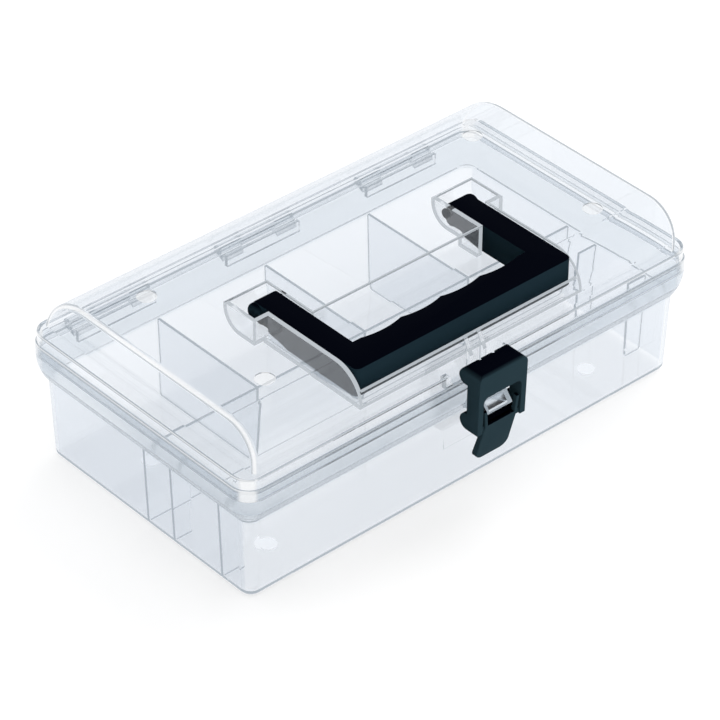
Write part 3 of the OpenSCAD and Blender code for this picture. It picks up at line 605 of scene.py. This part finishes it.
def build_latch(sizes, material):
    """A shell with a window, the rails and paddle on it, and the crossbar between its cheeks."""
    pivot = PIVOTS["latch_pivot"]
    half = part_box("latch")[1].x
    inner = half - sizes.cheek
    y, z = pivot.y, pivot.z
    leg_end, lobe_z = z - sizes.leg_end, z - sizes.leg_end + sizes.lobe_r
    leg_back = y - sizes.leg_back

    def front_at(height):
        full = sizes.nose_r - sizes.edge_r + sizes.leg_end
        return y - sizes.front + sizes.lean * (z + sizes.nose_r - sizes.edge_r - height) / full

    top_edge = (y - sizes.front + sizes.edge_r, z + sizes.nose_r - sizes.edge_r)
    nose_end = -90 - math.degrees(math.asin(sizes.leg_back / sizes.nose_r))
    side = [(front_at(leg_end), leg_end)] + arc(top_edge, sizes.edge_r, 180, 90)
    side += arc((y, z), sizes.nose_r, 90, nose_end, steps=24)
    side += arc((leg_back, lobe_z), sizes.lobe_r, 90, -90, steps=18)
    shell = prism("latch", side, "X", -half, half)
    bend, low = sizes.corner_r, leg_end - OVERRUN
    shield = [(-half, low), (half, low)]
    shield += arc((half - bend, z + sizes.nose_r - bend), bend, 0, 90)
    shield += arc((bend - half, z + sizes.nose_r - bend), bend, 90, 180)
    carve(shell, prism("shield", shield, "Y", y - THROUGH, y + THROUGH), "INTERSECT")
    skin, wall = z + sizes.nose_r - sizes.skin, y - sizes.front + sizes.wall
    inside = [(front_at(low) + sizes.wall, low), (wall, skin - sizes.inner_edge),
              (wall + sizes.inner_edge, skin)]
    inside += arc((y, z), sizes.nose_r - sizes.skin, 90, 45, steps=6)
    inside += [(y + sizes.open_back, z + sizes.open_back), (y + sizes.open_back, low)]
    carve(shell, prism("inside", inside, "X", -inner, inner))
    bend, window_top = sizes.window_r, z - sizes.window_top
    window = [(-inner, low), (inner, low)]
    window += arc((inner - bend, window_top - bend), bend, 0, 90)
    window += arc((bend - inner, window_top - bend), bend, 90, 180)
    carve(shell, prism("window", window, "Y", y - THROUGH, leg_back))
    soften(shell, sizes.edge, segments=4)
    # The nose is slotted where it swings past the lugs
    ray, reach = SLOT_START, SLOT_REACH
    slot = [(y, z), (y + reach * math.cos(ray), z + reach * math.sin(ray)),
            (y + reach, z + reach / 2), (y + reach / 2, z)]
    side_gap = sizes.slot_w / 2
    carve(shell, merge("slots", [prism("slot", slot, "X", x - side_gap, x + side_gap)
                                 for x in (-sizes.slot_x, sizes.slot_x)]))

    rail_top, bar_top, end = z - sizes.rail_top, z - sizes.bar_top, z - sizes.end
    bar_y = front_at(bar_top)
    lean, t = sizes.paddle_lean, sizes.paddle_t
    profile = [(front_at(rail_top), rail_top), (front_at(rail_top) + sizes.wall, rail_top),
               (bar_y + sizes.wall, bar_top), (bar_y + t, leg_end), (bar_y + lean + t, end),
               (bar_y + lean, end), (bar_y, bar_top)]
    tongue = prism("tongue", profile, "X", -half, half)
    gap, wide, bend = sizes.rail_gap / 2, sizes.paddle_w / 2, sizes.paddle_r
    rail = gap + sizes.rail_w
    spread = sizes.rail_spread
    face = [(-gap, bar_top), (gap, bar_top), (gap + spread, rail_top), (rail + spread, rail_top),
            (rail, bar_top)]
    face += arc((wide - bend, end + bend), bend, 0, -90)
    face += arc((bend - wide, end + bend), bend, -90, -180)
    face += [(-rail, bar_top), (-rail - spread, rail_top), (-gap - spread, rail_top)]
    carve(tongue, prism("face", face, "Y", y - THROUGH, y + THROUGH), "INTERSECT")
    soften(tongue, sizes.paddle_edge)

    deep = leg_end + sizes.bar_back
    start = math.degrees(math.asin((deep - lobe_z) / sizes.lobe_r))
    beam = [(front_at(leg_end) + sizes.groove, leg_end)]
    beam += arc((leg_back, lobe_z), sizes.lobe_r, -90, start)
    beam += [(leg_back - sizes.bar_low, deep), (leg_back - sizes.bar_high, bar_top),
             (bar_y + sizes.groove, bar_top)]
    crossbar = prism("crossbar", beam, "X", -inner - sizes.bar_root, inner + sizes.bar_root)
    soften(crossbar, sizes.bar_edge)

    latch = merge("latch_moulding", [shell, tongue, crossbar])
    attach(latch, "latch")
    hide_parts("latch")
    dress(latch, material)


def aim_camera():
    """The camera at the photograph's viewing angle."""
    lens = bpy.data.cameras.new("photo_camera")
    lens.sensor_fit = "HORIZONTAL"
    lens.sensor_width = SENSOR_MM
    lens.lens = LENS_MM
    eye = bpy.data.objects.new("photo_camera", lens)
    right = Vector((math.cos(HEADING), -math.sin(HEADING), 0))
    up = right.cross(VIEW)
    across = math.cos(ROLL) * right + math.sin(ROLL) * up
    upward = math.cos(ROLL) * up - math.sin(ROLL) * right
    eye.matrix_world = Matrix.Translation(EYE) @ Matrix(
        (across, upward, -VIEW)).transposed().to_4x4()
    bpy.context.scene.collection.objects.link(eye)
    bpy.context.scene.camera = eye


def lamp(name, place, size, power):
    """A flat lamp that faces the case. It isn't mirrored and doesn't show through plastic."""
    light = bpy.data.lights.new(name, "AREA")
    light.shape = "RECTANGLE"
    light.size, light.size_y = size
    light.energy = power
    holder = bpy.data.objects.new(name, light)
    holder.location = place
    holder.rotation_euler = (-Vector(place)).to_track_quat("-Z", "Y").to_euler()
    holder.visible_glossy = False
    holder.visible_transmission = False
    bpy.context.scene.collection.objects.link(holder)


def shown_rays(tree):
    """1 for rays that show the backdrop straight, and 1 for those mirrored or through plastic."""
    straight, mirrored, through = [tree.node("ShaderNodeLightPath", output=f"Is {kind} Ray")
                                   for kind in ("Camera", "Glossy", "Transmission")]
    return straight, mirrored | through


def build_studio(settings):
    """The soft light, the floor and the lamps."""
    scene = bpy.context.scene
    scene.view_settings.view_transform = "Standard"
    world = bpy.data.worlds.new("studio")
    scene.world = world
    tree = Tree(world)
    straight, bent = shown_rays(tree)
    white = tree.node("ShaderNodeBackground", None, WHITE, 1.0)
    cool = tree.node("ShaderNodeBackground", None, rgba(settings.cool), 1.0)
    soft = tree.node("ShaderNodeBackground", None, WHITE, settings.sky)
    around = tree.mix(bent, soft, cool)
    tree.node("ShaderNodeOutputWorld", None, tree.mix(straight, around, white))
    half = FLOOR_HALF
    floor = new_piece("floor", [(-half, -half, 0), (half, -half, 0), (half, half, 0),
                                (-half, half, 0)], [[0, 1, 2, 3]])
    material = bpy.data.materials.new("floor")
    tree = Tree(material)
    matt = tree.node("ShaderNodeBsdfDiffuse", None, FLOOR_GREY)
    straight, bent = shown_rays(tree)
    white = tree.node("ShaderNodeEmission", None, WHITE, 1.0)
    cool = tree.node("ShaderNodeEmission", None, rgba(settings.cool), 1.0)
    under = tree.mix(bent * settings.glow_inside, matt, cool)
    tree.node("ShaderNodeOutputMaterial", None,
              tree.mix(straight * settings.glow, under, white))
    dress(floor, material)
    lamp("key", *KEY_LAMP, settings.key)
    lamp("front", *FRONT_LAMP, settings.fill)


def only(names):
    """The CAD nodes of these names, or an error if one is missing."""
    missing = [name for name in names if name not in NODES]
    if missing:
        raise RuntimeError(f"missing nodes: {missing}")
    return [NODES[name] for name in names]


class DressBase(bpy.types.Operator):
    """Give the base its clear plastic"""

    bl_idname = "case.dress_base"
    bl_label = "Clear base"

    def execute(self, context):
        look = context.scene.case_finishes
        dress(only(["base_tray"])[0], clear_plastic(
            "clear_base", look.base, look.shaded_base_ends, look.polish, look.painted_base_edge_light,
            (SEAM - COLLAR_H, SEAM), look.haze, 0.0))
        return {"FINISHED"}


class DressLid(bpy.types.Operator):
    """Give the lid its clear plastic"""

    bl_idname = "case.dress_lid"
    bl_label = "Clear lid"

    def execute(self, context):
        look = context.scene.case_finishes
        dress(only(["lid"])[0], clear_plastic(
            "clear_lid", look.lid, look.lid, look.lid_polish, look.painted_lid_edge_light,
            (SEAM, SEAM + SKIRT_BAND_H), look.haze, look.painted_glint))
        return {"FINISHED"}


class BuildHandle(bpy.types.Operator):
    """Build the carry handle in place of its plain CAD solid"""

    bl_idname = "case.build_handle"
    bl_label = "Carry handle"

    def execute(self, context):
        look = context.scene.case_finishes
        build_handle(context.scene.case_handle,
                     black_plastic("handle_black", look.black, look.shaded_black_top, look.satin))
        return {"FINISHED"}


class BuildLatch(bpy.types.Operator):
    """Build the latch in place of its plain CAD solid"""

    bl_idname = "case.build_latch"
    bl_label = "Latch"

    def execute(self, context):
        look = context.scene.case_finishes
        build_latch(context.scene.case_latch,
                    black_plastic("latch_black", look.latch, look.shaded_black_top, look.satin))
        return {"FINISHED"}


class DressPins(bpy.types.Operator):
    """Give the hinge pins and the latch pin their steel"""

    bl_idname = "case.dress_pins"
    bl_label = "Pins"

    def execute(self, context):
        look = context.scene.case_finishes
        wire = steel("steel", look.wire, look.drawn)
        for pin in only(["latch_pin", "hinge_pin_left", "hinge_pin_middle", "hinge_pin_right"]):
            dress(pin, wire)
        return {"FINISHED"}


class BuildStudio(bpy.types.Operator):
    """Build the floor, the lights and the camera"""

    bl_idname = "case.build_studio"
    bl_label = "Studio"

    def execute(self, context):
        aim_camera()
        build_studio(context.scene.case_studio)
        return {"FINISHED"}


OPERATORS = (DressBase, DressLid, BuildHandle, BuildLatch, DressPins, BuildStudio)
GROUPS = {"case_handle": HandleSizes, "case_latch": LatchSizes, "case_finishes": Finishes,
          "case_studio": StudioSet}


class CasePanel(bpy.types.Panel):
    """Sizes and steps of the case"""

    bl_idname = "VIEW3D_PT_case"
    bl_label = "Assortment Case"
    bl_space_type = "VIEW_3D"
    bl_region_type = "UI"
    bl_category = "Case"

    def draw(self, context):
        for operator in OPERATORS:
            self.layout.operator(operator.bl_idname)
        for place in GROUPS:
            box = self.layout.box()
            settings = getattr(context.scene, place)
            for name in settings.__annotations__:
                box.prop(settings, name)


def register():
    for part in (*GROUPS.values(), *OPERATORS, CasePanel):
        bpy.utils.register_class(part)
    for place, group in GROUPS.items():
        setattr(bpy.types.Scene, place, PointerProperty(type=group))


def unregister():
    for place in GROUPS:
        delattr(bpy.types.Scene, place)
    for part in reversed((*GROUPS.values(), *OPERATORS, CasePanel)):
        bpy.utils.unregister_class(part)


def main():
    register()
    for operator in OPERATORS:
        group, name = operator.bl_idname.split(".")
        getattr(getattr(bpy.ops, group), name)()


if __name__ == "__main__":
    main()
